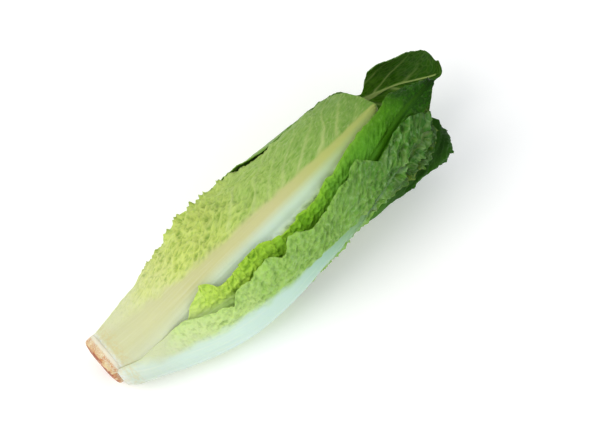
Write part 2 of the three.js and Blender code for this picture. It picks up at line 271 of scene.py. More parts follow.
def leafSheet(leaf, order):  # the fine inner and outer faces, with what the finish needs to know
    coarseV, coarseU, coarseR = drape(leaf, order)
    rows, columns = leaf["mesh"]
    seed = leaf["seed"]
    v = np.linspace(0, 1, rows + 1)
    v = v - 0.105 * v * (1 - v) * (1 - 2 * v)  # rows closer together at both ends
    even = np.linspace(-1, 1, columns + 1)
    u = even * (1 - 0.36 * (1 - even ** 2))  # columns closer together over the rib
    s = leaf["from"] + v * (leaf["to"] - leaf["from"])
    uu, ss = np.meshgrid(u, s)
    vv = np.meshgrid(u, v)[1]
    side = np.where(uu < 0, -1.0, 1.0)
    smooth = leafHalf(leaf, ss, uu)
    teeth = leaf["teeth"]
    rough = ripple(ss / teeth["wave"], side * 3.7 + 5, seed)
    rough = rough + 0.45 * ripple(ss / teeth["wave"] * 2.7, side * 2.3 + 9, seed + 5)
    grown = ease(vv / 0.16)  # teeth and frills come in past the leaf's start
    blunt = leaf.get("blunt", 0.07)
    tip = np.sqrt(1 - np.clip((vv - 1 + blunt) / blunt, 0, 0.995) ** 2)
    half = np.maximum(smooth * tip + teeth["depth"] * rough * grown * tip, 0.4)
    arc = uu * half
    own = curve(heart["outline"], ss) * leaf["fit"]
    angle = curve(leaf["centre"], ss) + arc / np.maximum(own, 6) / degree
    r = spread(coarseV, v) @ coarseR @ spread(coarseU, u).T

    rib = curve(leaf["ribWidth"], ss) * np.where(uu < 0, 1, leaf.get("ribRight", 1))
    offRib = np.abs(arc) / rib
    onRib = np.clip(offRib, 0, 1)
    ribShape = (1 - onRib ** 2) ** 1.5
    ribHeight = leaf["ribHeight"] * ease(vv / leaf.get("ribStart", 0.12) + 0.35) * (1 - vv) ** 0.75
    blade = ease((offRib - 0.7) / 0.5)  # 0 on the rib, 1 on the blade

    vein, nets, crease, netPlace = veinNet(leaf, arc, ss, uu)
    vein = vein * blade * ease((1 - vv) / 0.1) * curve(leaf["veins"].get("along", [(0, 1), (1, 1)]), vv)
    pucker = leaf["pucker"]
    margin = half * (1 - np.abs(uu))
    margin = np.minimum(margin, (1 - vv) * (leaf["to"] - leaf["from"]))
    frill = leaf["frill"]
    near = np.exp(-((margin / frill["reach"]) ** 1.3)) * grown
    patchy = 0.72 + 0.38 * ripple(ss / 13, arc / 11, seed + 14)
    strength = curve(pucker["along"], vv) * blade * ease(vv / 0.1) * patchy
    roll = 0.5 + 0.5 * ripple(ss / 22, arc / 14, seed + 15)
    depths = pucker["depths"]
    push = strength * (depths[0] * (1 - nets[0]) + depths[1] * (1 - nets[1]) + depths[2] * crease)
    push += pucker["swell"] * strength * roll

    height = np.where(side < 0, frill["left"], frill["right"]) * curve(frill["along"], vv)
    phase = 2 * math.pi * ss / frill["wave"] + 3.4 * ripple(ss / 15, side * 4.1, seed + 16) + 1.5 * side
    phase = phase + 0.25 * arc
    ruffle = 0.5 + 0.5 * np.sin(phase)
    close, further = cells(ss / 2.8, arc / 2.6 + side * 6, seed + 17)
    fine = 1 - ease((further - close) / 0.6)
    push += height * near * (0.5 * ruffle + 0.5 * fine)
    crevice = 0
    if "crumple" in leaf:
        folded = ease((vv - 0.76) / 0.12) * blade
        fold = np.clip(1 - 1.7 * np.abs(ripple(ss / 8 + arc / 20, arc / 5, seed + 18)), 0, 1)
        push += leaf["crumple"] * folded * fold
        crevice = folded * (1 - fold) ** 2
    curl = np.where(side < 0, frill.get("curlLeft", 0), 0)
    push += curl * curve(frill["along"], vv) * near ** 1.5
    lean = height * near * 0.2 * np.cos(phase)

    base = toWorld(angle, ss + lean, r)
    ahead = np.gradient(base, axis=0)
    beside = np.gradient(base, axis=1)
    normal = np.cross(ahead, beside)
    normal /= np.linalg.norm(normal, axis=-1, keepdims=True) + 1e-12
    radial = toWorld(angle, ss, r + 1) - toWorld(angle, ss, r)
    normal *= np.sign((normal * radial).sum(-1).mean())
    normal = normal + 0.6 * radial / mm
    normal /= np.linalg.norm(normal, axis=-1, keepdims=True)

    thin = heart["bladeThickness"] * (1 - 0.45 * np.exp(-margin / 1.5))
    strand = 0.12 * ripple(arc / 0.9, ss / 60, seed + 9) * (1 - onRib ** 2)
    thick = thin + ribHeight * ribShape + leaf["veins"]["height"] * vein
    thick = thick + strand * ribHeight / max(leaf["ribHeight"], 1)
    inner = base + normal * (push * mm)[..., None]
    outer = inner + normal * (thick * mm)[..., None]
    if order < heart["pressedLeaves"]:
        floor = heart["floorClear" if order < heart["touchingLeaves"] else "pressedInset"] * mm
        outer[..., 2] = np.maximum(outer[..., 2], floor)
        inner[..., 2] = np.maximum(inner[..., 2], floor + 0.5 * mm)
    lay(outer)

    ribPaint = ease((1.18 - offRib + 0.12 * ripple(ss / 5, arc / 3, seed + 10)) / 0.5)
    deep = ease((nets[1] - 0.35) / 0.65) * (0.45 + 0.55 * nets[0]) * (1.25 - 0.6 * crease)
    bareWidth = curve(leaf.get("bare", [(0, -9), (1, -9)]), ss)
    shadeSide, shadeDepth = leaf.get("shade", (1, 0))
    shaded = shadeDepth * ease((shadeSide * uu - 0.2) / 0.3) * ease((vv - 0.7) / 0.16)
    facts = {
        "rise": vv,                # 0 at the leaf's start, 1 at its tip
        "rib": ribPaint * ease((1 - vv - leaf.get("ribEnd", 0)) / 0.006),
        "vein": vein,
        "hollow": np.clip(deep * strength, 0, 1),  # between the puckers, where the finish paints shade
        "edge": np.exp(-margin / 2.2),
        "bare": ease((bareWidth - margin) / 5 + 0.5) * (uu < 0),  # a strip of left margin with little green
        "flank": arc / rib,        # -1 to 1 across the rib
        "shade": np.maximum(shaded, crevice * 0.5),  # darkened tips and folds
    }
    maps = {"sheet": np.stack([arc, ss], axis=-1) / 100, "net": netPlace / 10}
    return outer, inner, facts, maps


def closedSheet(name, outer, inner, facts, maps):  # one closed skin: two faces and the rim
    rows, columns = outer.shape[:2]
    count = rows * columns
    index = np.arange(count).reshape(rows, columns)
    a, b = index[:-1, :-1], index[:-1, 1:]
    c, d = index[1:, 1:], index[1:, :-1]
    top = np.stack([a, b, c, d], axis=-1).reshape(-1, 4)
    bottom = np.stack([a, d, c, b], axis=-1).reshape(-1, 4) + count
    border = np.concatenate([index[0, :-1], index[:-1, -1], index[-1, :0:-1], index[:0:-1, 0]])
    following = np.roll(border, -1)
    rim = np.stack([following, border, border + count, following + count], axis=-1)
    faces = np.concatenate([top, bottom, rim]).astype(np.int32)
    points = np.concatenate([outer.reshape(-1, 3), inner.reshape(-1, 3)])
    corners = points[faces]
    volume = np.einsum("ij,ij->i", corners[:, 0], np.cross(corners[:, 1], corners[:, 2])).sum()
    volume += np.einsum("ij,ij->i", corners[:, 0], np.cross(corners[:, 2], corners[:, 3])).sum()
    if volume < 0:
        faces = faces[:, ::-1].copy()
    mesh = bpy.data.meshes.new(name)
    mesh.vertices.add(len(points))
    mesh.vertices.foreach_set("co", points.astype(np.float32).ravel())
    mesh.loops.add(faces.size)
    mesh.loops.foreach_set("vertex_index", faces.ravel())
    mesh.polygons.add(len(faces))
    mesh.polygons.foreach_set("loop_start", np.arange(len(faces), dtype=np.int32) * 4)
    mesh.update(calc_edges=True)
    mesh.validate()
    mesh.polygons.foreach_set("use_smooth", np.ones(len(faces), bool))
    for key, values in facts.items():
        both = np.concatenate([values.ravel(), values.ravel()]).astype(np.float32)
        mesh.attributes.new(key, "FLOAT", "POINT").data.foreach_set("value", both)
    within = np.concatenate([np.zeros(count), np.ones(count)]).astype(np.float32)
    mesh.attributes.new("within", "FLOAT", "POINT").data.foreach_set("value", within)
    for key, places in maps.items():
        uv = np.concatenate([places.reshape(-1, 2)] * 2)[faces.ravel()]
        mesh.uv_layers.new(name=key).data.foreach_set("uv", uv.astype(np.float32).ravel())
    piece = bpy.data.objects.new(name, mesh)
    bpy.context.collection.objects.link(piece)
    return piece


# Shader maths: a socket that can be used in sums
class Socket:
    def __init__(self, tree, socket):
        self.tree = tree
        self.socket = socket

    def maths(self, operation, *values):
        node = self.tree.nodes.new("ShaderNodeMath")
        node.operation = operation
        for slot, value in zip(node.inputs, values):
            plug(self.tree, slot, value)
        return Socket(self.tree, node.outputs[0])

    def __add__(self, other):
        return self.maths("ADD", self, other)

    def __radd__(self, other):
        return self.maths("ADD", other, self)

    def __sub__(self, other):
        return self.maths("SUBTRACT", self, other)

    def __rsub__(self, other):
        return self.maths("SUBTRACT", other, self)

    def __mul__(self, other):
        return self.maths("MULTIPLY", self, other)

    def __rmul__(self, other):
        return self.maths("MULTIPLY", other, self)

    def within(self, low, high):  # 0 to 1 as the value goes from low to high
        node = self.tree.nodes.new("ShaderNodeMapRange")
        node.interpolation_type = "SMOOTHSTEP"
        for slot, value in zip(node.inputs, (self, low, high, 0.0, 1.0)):
            plug(self.tree, slot, value)
        return Socket(self.tree, node.outputs[0])


def plug(tree, slot, value):
    if isinstance(value, Socket):
        tree.links.new(value.socket, slot)
    elif isinstance(value, tuple) and len(value) == 3 and slot.type == "RGBA":
        slot.default_value = (*value, 1)
    else:
        slot.default_value = value


class Finish:  # a material and what its nodes are made with
    def __init__(self, name):
        self.material = bpy.data.materials.new(name)
        self.material.use_nodes = True
        self.tree = self.material.node_tree
        self.shader = self.tree.nodes["Principled BSDF"]

    def node(self, kind, settings=None, sockets=None, out=0):
        node = self.tree.nodes.new("ShaderNode" + kind)
        for key, value in (settings or {}).items():
            if key == "stops":
                ramp = node.color_ramp.elements
                while len(ramp) > 1:
                    ramp.remove(ramp[0])
                ramp[0].position = value[0][0]
                ramp[0].color = (*value[0][1], 1)
                for place, colour in value[1:]:
                    ramp.new(place).color = (*colour, 1)
            else:
                setattr(node, key, value)
        for key, value in (sockets or {}).items():
            plug(self.tree, node.inputs[key], value)
        return Socket(self.tree, node.outputs[out])

    def fact(self, name):
        return self.node("Attribute", {"attribute_name": name}, out=2)

    def uv(self, name):
        return self.node("UVMap", {"uv_map": name})

    def stretched(self, where, scale):
        return self.node("Mapping", {}, {"Vector": where, "Scale": scale})

    def mix(self, factor, a, b):
        return self.node("Mix", {"data_type": "RGBA"}, {0: factor, 6: a, 7: b}, out=2)

    def ramp(self, stops, at):  # the colour at a value, through (place, colour) stops
        return self.node("ValToRGB", {"stops": [(place, tint(colour)) for place, colour in stops]}, {0: at})

    def noise(self, where, scale, detail=2.0, rough=0.5):
        sockets = {"Vector": where, "Scale": scale, "Detail": detail, "Roughness": rough}
        return self.node("TexNoise", {}, sockets)

    def set(self, **values):
        for key, value in values.items():
            plug(self.tree, self.shader.inputs[key.replace("_", " ")], value)


def tint(text):  # a colour as on screen, made linear
    parts = [int(text[i:i + 2], 16) / 255 for i in (0, 2, 4)]
    return tuple(c / 12.92 if c <= 0.04045 else ((c + 0.055) / 1.055) ** 2.4 for c in parts)


leafTexture = {  # what the finishes of all the leaves share: noise scales, tints and depths
    "patches": 9.0, "speckle": 60.0, "spots": 24.0, "clouds": 26.0, "grain": 150.0,
    "net": (4.6, 2.8, 1.0),
    "strands": (110.0, 3.0, 1.0),
    "bareTint": "c8d0a6", "bareDepth": 0.8,
    "shadeTint": "122e04",
    "startTint": "dfe6df", "startDepth": 0.75,
    "fleckTint": "cdb878", "fleckDepth": 0.35,
    "bumpStrength": 0.5, "bumpHeight": 0.00035,
    "glow": 0.18, "glowDepth": 0.0022, "glowColour": (0.9, 1.0, 0.35),
}


def leafFinish(name, look):
    shared = leafTexture
    finish = Finish(name)
    sheet = finish.uv("sheet")
    rise = finish.fact("rise")
    rib = finish.fact("rib")
    vein = finish.fact("vein")
    hollow = finish.fact("hollow")
    edge = finish.fact("edge")
    flank = finish.fact("flank")
    within = finish.fact("within")
    shade = finish.fact("shade")
    bare = finish.fact("bare")
    patches = finish.noise(sheet, shared["patches"], 3.0, 0.6)
    speckle = finish.noise(sheet, shared["speckle"], 3.0, 0.6)
    grown = rise + (patches - 0.5) * 0.22

    # the blade: painted shade in the hollows, the net of fine veins, speckle, streaks of painted crease
    # shade and painted glints, the side veins, the margin, and painted shade in folds and on turned-away
    # tips
    netPlace = finish.stretched(finish.uv("net"), shared["net"])
    net = finish.node("TexVoronoi", {"feature": "DISTANCE_TO_EDGE"}, {"Vector": netPlace, "Scale": 1.0})
    netLine = 1 - net.within(0.02, 0.16)
    spots = finish.noise(sheet, shared["spots"])
    shadeAndSpeckTint = tint(look["hollow"])
    veinTint = finish.ramp(look["vein"], rise)
    colour = finish.ramp(look["blade"], grown)
    # painted shade: the hollows between the puckers take the darker hollow tint, partly their own deeper
    # green and partly painted shade
    colour = finish.mix(hollow * look["hollowDepth"] * spots.within(0.35, 0.62), colour, shadeAndSpeckTint)
    colour = finish.mix(netLine * look["net"], colour, veinTint)
    colour = finish.mix((speckle - 0.5).within(0.0, 0.5) * 0.35, colour, shadeAndSpeckTint)
    weaveMap, weaveScale = look["weave"]
    streak = finish.noise(finish.stretched(finish.uv(weaveMap), weaveScale), 1.0)
    # painted light: the weave's dark streaks paint the shade in fine creases, its light streaks paint glints
    creaseShadeStreak = streak.within(0.5, 0.68) * rise.within(0.08, 0.26) * look["streak"]
    glintStreak = (1 - streak).within(0.52, 0.7) * look["glint"]
    colour = finish.mix(creaseShadeStreak, colour, shadeAndSpeckTint)
    colour = finish.mix(glintStreak, colour, tint(look["light"]))
    colour = finish.mix((vein * look["veining"]).within(0.0, 1.0), colour, veinTint)
    colour = finish.mix(edge * look["edgeDepth"] * (1 - rise.within(0.5, 0.95)), colour, tint(look["edge"]))
    colour = finish.mix(bare * shared["bareDepth"], colour, tint(shared["bareTint"]))
    colour = finish.mix((shade * (patches + 0.3)).within(0.0, 1.0), colour, tint(shared["shadeTint"]))

    # the rib, with the painted light of its right flank and fine strands along it
    ribColour = finish.ramp(look["rib"], rise)
    # painted light: the rib's right flank takes the colour of how light falls on that side, paler and cooler
    # on most leaves
    ribColour = finish.mix(flank.within(*look["flank"]), ribColour, finish.ramp(look["ribFlank"], rise))
    strands = finish.noise(finish.stretched(sheet, shared["strands"]), 1.0, 3.0)
    strandDepth = (strands - 0.45).within(0.0, 0.35) * (1 - rise.within(0.4, 0.65)) * 0.3
    ribColour = finish.mix(strandDepth, ribColour, tint(look["strand"]))
    colour = finish.mix(rib, colour, ribColour)

    # the inner face
    clouds = finish.noise(sheet, shared["clouds"], 4.0, 0.6).within(0.42, 0.75)
    inner = finish.mix(clouds * 0.55, finish.ramp(look["inside"], grown), tint(look["insideDark"]))
    for share in (netLine * 0.06, vein * 0.55, rib * 0.75):
        inner = finish.mix(share, inner, tint(look["insideVein"]))
    colour = finish.mix(within, colour, inner)

    # the pale start of the leaf, with brownish flecks
    start = 1 - (rise + (patches - 0.5) * 0.012).within(0.006, 0.02)
    colour = finish.mix(start * shared["startDepth"], colour, tint(shared["startTint"]))
    flecks = (1 - (rise + (patches - 0.5) * 0.05).within(0.03, 0.055)) * speckle.within(0.4, 0.6)
    colour = finish.mix(flecks * shared["fleckDepth"], colour, tint(shared["fleckTint"]))

    # relief and sheen
    grain = finish.noise(sheet, shared["grain"], 3.0, 0.6)
    height = grain * 0.25 + netLine * 0.4 * (1 - rib) + strands * rib * 0.5
    height = height + speckle * 0.5 - streak * (1 - rib) * 1.4
    relief = {"Height": height, "Strength": shared["bumpStrength"], "Distance": shared["bumpHeight"]}
    rough = look["rough"] + speckle * 0.16 - rib * 0.06
    coat = look["coat"] * patches.within(0.4, 0.65) * (1 - rib * 0.6)
    finish.set(Base_Color=colour, Roughness=rough, Normal=finish.node("Bump", {}, relief))
    finish.set(Specular_IOR_Level=look["sheen"], Coat_Weight=coat, Coat_Roughness=0.22)
    finish.set(Subsurface_Weight=shared["glow"], Subsurface_Scale=shared["glowDepth"])
    finish.set(Subsurface_Radius=shared["glowColour"])
    return finish.material


# Where a leaf's own look says nothing else, it is like this
baseLook = {
    "vein": [(0, "dfe3b4"), (0.5, "cfd99a"), (1, "b4c47c")],
    "rib": [(0, "dedcb2"), (0.3, "d9dbab"), (0.6, "d3d59c"), (1, "a9b468")],
    "ribFlank": [(0, "dde3cc"), (0.3, "d6e6cf"), (0.6, "cfdfb6"), (1, "a2b46a")],
    "flank": (-0.2, 0.5),      # where the colour changes over, across the rib, from the rib's own colour to the painted light of its right flank
    "strand": "eef0d6",
    "inside": [(0, "dfe6b0"), (0.35, "b9d070"), (0.7, "5f8f33"), (1, "3b6620")],
    "insideDark": "35601d", "insideVein": "c9d68f",
    "net": 0.28, "veining": 1.1,
    # streak is how deep the painted crease shade of the dark streaks goes; glint and the tint after it paint
    # glints on the light streaks
    "weave": ("net", (5.6, 4.6, 1.0)), "streak": 0.25, "glint": 0.2, "light": "dfeab0",
    "rough": 0.42, "coat": 0.06, "sheen": 0.25,
}

rightOuter = {
    "node": "leaf_right_outer",
    "seed": 11,
    "from": 4.2, "to": 210,
    "centre": [(8, 84), (40, 90), (79, 93), (100, 92), (120, 87), (137, 80), (151, 72), (173, 61),
               (190, 53), (210, 46)],
    "left": [(7, 8), (18, 9), (31, 15), (48, 21), (60, 19.5), (65, 21), (71, 20.5), (76, 25), (88, 27.5),
             (99, 28.5), (105, 25.5), (113, 28), (122, 25), (128, 22.5), (134, 21.5), (143, 22.8), (154, 20),
             (163, 21.6), (172, 13), (182, 12), (190, 11), (204, 8), (210, 3)],
    "right": [(7, 9), (26, 12), (58, 18), (97, 20), (120, 12), (139, 3.5), (154, 2.5), (173, 6), (190, 8),
              (204, 8), (210, 3)],
    "fit": 0.83,
    "ribHeight": 3.4,
    "ribWidth": [(7, 8), (25, 8), (45, 10), (70, 12.5), (95, 11), (120, 8), (137, 4), (152, 1.4),
                 (210, 0.7)],
    "veins": {"spacing": 12.0, "lean": 1.0, "bend": 0.006, "width": 0.8, "height": 0.25, "fade": 14},
    "pucker": {"depths": (1.2, 1.1, 0.9), "swell": 0.9, "cells": [(9, 4.4), (4.2, 2.3)],
               "along": [(0, 0), (0.14, 0.15), (0.25, 0.8), (0.7, 1), (1, 1.4)]},
    "teeth": {"wave": 6.5, "depth": 1.1},
    "frill": {"reach": 4.5, "wave": 10, "left": 1.6, "right": 1.4, "curlLeft": 0.5,
              "along": [(0, 0), (0.2, 0.1), (0.3, 1), (1, 1)]},
    "hug": (0.25, 0.04),
    "sink": {"left": [(6, 1.4), (40, 1.4), (50, 0), (210, 0)]},
    "ribStart": 0.05,
    "flare": {"from": [(0, 64), (210, 64)], "until": 420,
              "reach": [(4, 2.6), (8, 3), (12, 3), (22, 4.8), (32, 6.8), (43, 7.8), (53, 8.5), (75, 9),
                        (101, 7), (125, 3.5), (140, 1.5), (152, 0)]},
    "crumple": 3.6,
    "bare": [(4, 13), (20, 8), (34, 2), (44, -3), (52, -9)],
    "shade": (1, 0.6),
    "mesh": (320, 104),
    "look": dict(
        baseLook,
        blade=[(0, "d0d4ba"), (0.12, "cdd6b0"), (0.2, "cce09a"), (0.28, "cae68c"), (0.42, "a2cc60"),
               (0.62, "84b24a"), (0.8, "4e8426"), (1, "2e6416")],
        rib=[(0, "c8d4c4"), (0.15, "cde2d4"), (0.3, "d0e8da"), (0.45, "c4e0d0"), (0.57, "a6cab2"),
             (0.7, "86ac70"), (1, "6e9650")],
        ribFlank=[(0, "ccd8cc"), (0.3, "cfe6e0"), (0.5, "c0dcd2"), (0.7, "8fb488"), (1, "6e9650")],
        hollow="3f7018", hollowDepth=0.55, edge="8fbf4a", edgeDepth=0.35,
        net=0.12, veining=0.3,
        weave=("sheet", (52.0, 44.0, 1.0)), streak=0.32, glint=0.18, light="b4dca4",
        rough=0.34, coat=0.25, sheen=0.15,
    ),
}
leftOuter = {
    "node": "leaf_left_outer",
    "seed": 23,
    "from": 6.4, "to": 242,
    "centre": [(10, 225), (60, 232), (140, 238), (190, 238), (205, 236), (217, 232), (228, 221), (236, 211),
               (239, 210), (240.5, 217), (242, 228)],
    "left": [(7, 9), (30, 20), (70, 42), (110, 51), (160, 46), (195, 36), (207, 30), (220, 22), (229, 11),
             (235, 3.4), (239, 1.4), (240.5, 2.8), (242, 4)],
    "right": [(7, 8), (30, 10), (45, 13), (70, 20), (100, 28), (117, 31), (128, 38), (140, 38.5), (150, 35),
              (160, 32), (181, 30), (189, 19), (194, 9), (198.6, 4), (201.4, 6), (204.7, 12), (208.7, 21),
              (214, 25.5), (224, 25), (232.5, 21.5), (239, 15.5), (240.5, 10.5), (242, 4)],
    "fit": 0.925,
    "ribHeight": 3.4,
    "ribWidth": [(7, 9), (40, 12), (90, 8.5), (140, 5.5), (200, 1.8), (215, 0.6), (238.5, 0.4),
                 (240, 0.05)],
    "veins": {"spacing": 11.0, "lean": 1.1, "bend": 0.004, "width": 0.9, "height": 0.3},
    "pucker": {"depths": (0.4, 0.3, 0.3), "swell": 0.5, "cells": [(14, 7), (6, 3.4)],
               "along": [(0, 0), (0.25, 0.6), (0.7, 0.8), (0.8, 0.5), (1, 1.2)]},
    "teeth": {"wave": 8, "depth": 0.8},
    "frill": {"reach": 4, "wave": 14, "left": 0.6, "right": 0.7,
              "along": [(0, 0), (0.3, 1), (0.8, 1), (1, 0.8)]},
    "hug": (0.04, 0.0),
    "sink": {"right": [(100, 0), (122, 1.6), (182, 1.6), (192, 0)]},
    "flare": {"from": [(0, 255), (250, 255)], "until": 420,
              "reach": [(112, 0), (125, -3), (185, -3), (198, 0), (208, 0.8), (220, 0.5), (230, 0)]},
    "blunt": 0.008,
    "ribEnd": 0.016,
    "mesh": (320, 100),
    "look": dict(
        baseLook,
        blade=[(0, "c8d6b2"), (0.2, "b4cf7c"), (0.42, "86ad4c"), (0.6, "5d8c2c"), (0.8, "41701c"),
               (1, "315a12")],
        inside=[(0, "c9db8d"), (0.4, "6f9a3a"), (0.72, "5a8a28"), (0.82, "42700f"), (0.9, "2c5606"),
                (1, "2c5606")],
        insideDark="153404", insideVein="a4b86a",
        hollow="426f20", hollowDepth=0.5, edge="6f9c36", edgeDepth=0.3,
        veining=0.6,
        weave=("sheet", (46.0, 38.0, 1.0)), streak=0.3, glint=0.12, light="7ca44c",
        rough=0.32, coat=0.08, sheen=0.05,
    ),
}
frontFrilled = {
    "node": "leaf_front_frilled",
    "seed": 37,
    "from": 16, "to": 226,
    "centre": [(16, 72), (60, 64), (110, 58), (140, 50), (160, 44), (180, 33), (200, 22), (226, 14)],
    "left": [(16, 3), (30, 3), (40, 4), (46, 8), (50, 12), (54, 15.5), (60, 18), (64, 20.5), (72, 15),
             (86, 16), (96, 17.5), (105, 15), (114, 14), (125, 14), (133, 12.5), (142, 13), (163, 15),
             (177, 13), (191, 12), (202, 12.5), (208, 10.5), (215, 8), (222, 5), (226, 3)],
    "right": [(16, 7), (26, 11), (60, 19), (110, 24), (160, 20), (190, 13), (210, 8.5), (219, 5.5),
              (226, 3)],
    "fit": 0.83,
    "ribHeight": 1.8,
    "ribWidth": [(10, 7), (40, 11), (90, 7), (140, 4.5), (215, 1.2)],
    "veins": {"spacing": 11.0, "lean": 0.9, "bend": 0.006, "width": 0.8, "height": 0.25, "fade": 20},
    "pucker": {"depths": (0.7, 0.8, 0.6), "swell": 0.6, "cells": [(8, 4), (4, 2.4)],
               "along": [(0, 0), (0.14, 0.1), (0.22, 1.1), (0.55, 0.9), (0.7, 0.7), (1, 0.9)]},
    "teeth": {"wave": 4.6, "depth": 1.0},
    "frill": {"reach": 6, "wave": 5.6, "left": 3.0, "right": 0.8, "curlLeft": 0.5,
              "along": [(0, 0), (0.16, 0.1), (0.23, 1), (0.5, 0.95), (0.62, 0.6), (0.72, 0.25), (1, 0.3)]},
    "hug": (0.2, 0.04),
    "mesh": (360, 96),
    "look": dict(
        baseLook,
        # the near-black green from 0.92 to the tip is partly the leaf's own deep green, partly painted shade
        # under the bent-over tip of the left outer leaf
        blade=[(0, "d4dea8"), (0.13, "d0e290"), (0.24, "bede5c"), (0.36, "a0cc3c"), (0.5, "74b022"),
               (0.66, "60a02c"), (0.8, "4c8618"), (0.92, "1c4206"), (1, "0e2802")],
        vein=[(0, "dfe3b4"), (0.4, "a0c850"), (0.7, "5c9a2c"), (1, "204c0c")],
        rib=[(0, "dfe3b0"), (0.25, "b8d880"), (0.4, "84b838"), (0.5, "74b022"), (0.66, "5a9a26"),
             (0.8, "407610"), (1, "0e2802")],
        ribFlank=[(0, "dfe3b0"), (0.25, "b8d880"), (0.4, "84b838"), (0.5, "66a410"), (0.66, "4c8c14"),
                  (0.8, "33680e"), (1, "123004")],
        hollow="2f6a06", hollowDepth=0.7, edge="b4dc44", edgeDepth=0.4,
        net=0.15, veining=0.5,
        weave=("sheet", (56.0, 44.0, 1.0)), streak=0.3, glint=0.06, light="a4cc7c",
        rough=0.4, coat=0.08, sheen=0.06,
    ),
}
frontRibbed = {
    "node": "leaf_front_ribbed",
    "seed": 41,
    "from": 6.6, "to": 193,
    "centre": [(10, 31), (30, 27), (55, 20.5), (75, 17), (93, 15.5), (114, 13), (135, 10.4), (158, 6.5),
               (175, 2), (193, -4)],
    "left": [(8, 22), (20, 26.5), (30, 30.5), (45, 35.5), (60, 39), (75, 40.5), (93, 41), (114, 39.5),
             (124, 36.5), (136, 33), (150, 39.5), (168, 35.5), (177, 32), (184, 27), (189, 17), (193, 6)],
    "right": [(8, 8), (26, 14), (60, 24), (110, 30), (160, 27), (182, 16), (190, 7), (193, 3)],
    "fit": 0.84,
    "ribHeight": 3.4,
    "ribWidth": [(8, 15), (30, 15), (45, 12), (58, 9.5), (75, 8), (93, 7.3), (114, 6.6), (135, 6),
                 (153, 4.8), (172, 3.2), (193, 1.4)],
    "veins": {"spacing": 9.5, "lean": 1.05, "bend": 0.004, "width": 1.9, "height": 0.45, "fade": 40,
              "along": [(0, 0.1), (0.35, 0.2), (0.58, 1), (1, 0.9)]},
    "pucker": {"depths": (1.7, 1.3, 0.9), "swell": 1.2, "cells": [(12, 4.8), (5.5, 2.5)],
               "along": [(0, 0), (0.08, 0.1), (0.25, 0.9), (0.5, 1), (0.68, 0.45), (1, 0.3)]},
    "teeth": {"wave": 8, "depth": 1.3},
    "frill": {"reach": 5, "wave": 8.5, "left": 2.6, "right": 0.4, "curlLeft": 2.2,
              "along": [(0, 0), (0.2, 0.1), (0.38, 1), (0.55, 1), (0.66, 0.2), (1, 0.2)]},
    "hug": (0.0, 0.1),
    "flare": {"from": [(0, -130), (193, -130)], "until": -36,
              "reach": [(8, 3.5), (20, 2.5), (30, 0.5), (44, -2.6), (52, -4), (60, -3), (70, -0.5),
                        (100, 0), (110, -1.8), (122, -1), (132, 0)]},
    "ribRight": 1.5,
    "mesh": (320, 120),
    "look": dict(
        baseLook,
        blade=[(0, "cdcfae"), (0.14, "d0d6a0"), (0.22, "cfd888"), (0.32, "c8d870"), (0.42, "bed068"),
               (0.58, "a4c062"), (0.75, "88ab52"), (1, "668c3a")],
        vein=[(0, "d6d8b0"), (0.5, "c2cf8e"), (1, "a4b468")],
        rib=[(0, "c6c8a0"), (0.15, "c8ca9a"), (0.3, "c4c48e"), (0.6, "c3c28a"), (0.8, "b0b86a"),
             (1, "98a658")],
        ribFlank=[(0, "d4d8bc"), (0.3, "d8e8cc"), (0.5, "d4e8d8"), (0.7, "c4dabc"), (0.85, "a4ba78"),
                  (1, "8c9c4c")],
        strand="d8dcc0",
        hollow="5f8e20", hollowDepth=0.8, edge="b0cc54", edgeDepth=0.5,
        net=0.12, veining=0.85,
        streak=0.38, glint=0.12, light="dfe8a6",
        rough=0.42, coat=0.04, sheen=0.15,
    ),
}
rightBack = {
    "node": "leaf_right_back",
    "seed": 53,
    "from": 6.6, "to": 214,
    "centre": [(8, 150), (60, 150), (120, 148), (180, 138), (214, 122)],
    "left": [(8, 8), (30, 14), (70, 30), (120, 38), (170, 38), (200, 34), (210, 30), (214, 22)],
    "right": [(8, 8), (30, 14), (70, 30), (120, 38), (170, 34), (198, 20), (208, 14), (214, 8)],
    "fit": 0.77,
    "flare": {"from": [(140, 74), (175, 77), (195, 80), (207, 90), (214, 92)], "until": 165,
              "reach": [(138, 0), (156, 4), (175, 4.3), (195, 5.7), (205, 8), (214, 9)]},
    "ribHeight": 2.6,
    "ribWidth": [(8, 8), (40, 11), (90, 7.5), (140, 5), (200, 1.4)],
    "veins": {"spacing": 10.0, "lean": 1.0, "bend": 0.005, "width": 0.9, "height": 0.3},
    "pucker": {"depths": (0.6, 0.5, 0.4), "swell": 0.5, "cells": [(13, 6.5), (5.5, 3.2)],
               "along": [(0, 0), (0.5, 0.3), (0.7, 0.6), (1, 1.5)]},
    "teeth": {"wave": 6.5, "depth": 1.2},
    "frill": {"reach": 5, "wave": 11, "left": 1.8, "right": 1.2,
              "along": [(0, 0), (0.7, 0.2), (0.85, 1), (1, 1)]},
    "blunt": 0.03,
    "crumple": 2.2,
    "shade": (-1, 0.75),
    "mesh": (260, 110),
    "look": dict(
        baseLook,
        blade=[(0, "c8d6b2"), (0.3, "a0c460"), (0.6, "4c7e20"), (0.85, "2a5c08"), (1, "265208")],
        vein=[(0, "dfe3b4"), (0.4, "a9c470"), (0.7, "4f7c2c"), (1, "3a6420")],
        # the inner face is darkest towards the tip, where it cups away: partly the leaf's own deep green,
        # partly painted shade, with veins darkened to match
        inside=[(0, "c9db8d"), (0.5, "5d8a30"), (0.8, "1c3e06"), (1, "24480c")],
        insideDark="0e2404", insideVein="3c6420",
        hollow="1f4a08", hollowDepth=0.6, edge="4f8030", edgeDepth=0.3,
        veining=0.5,
        weave=("sheet", (48.0, 40.0, 1.0)), streak=0.3, glint=0.12, light="5c8c3c",
        rough=0.5, coat=0.03, sheen=0.03,
    ),
}
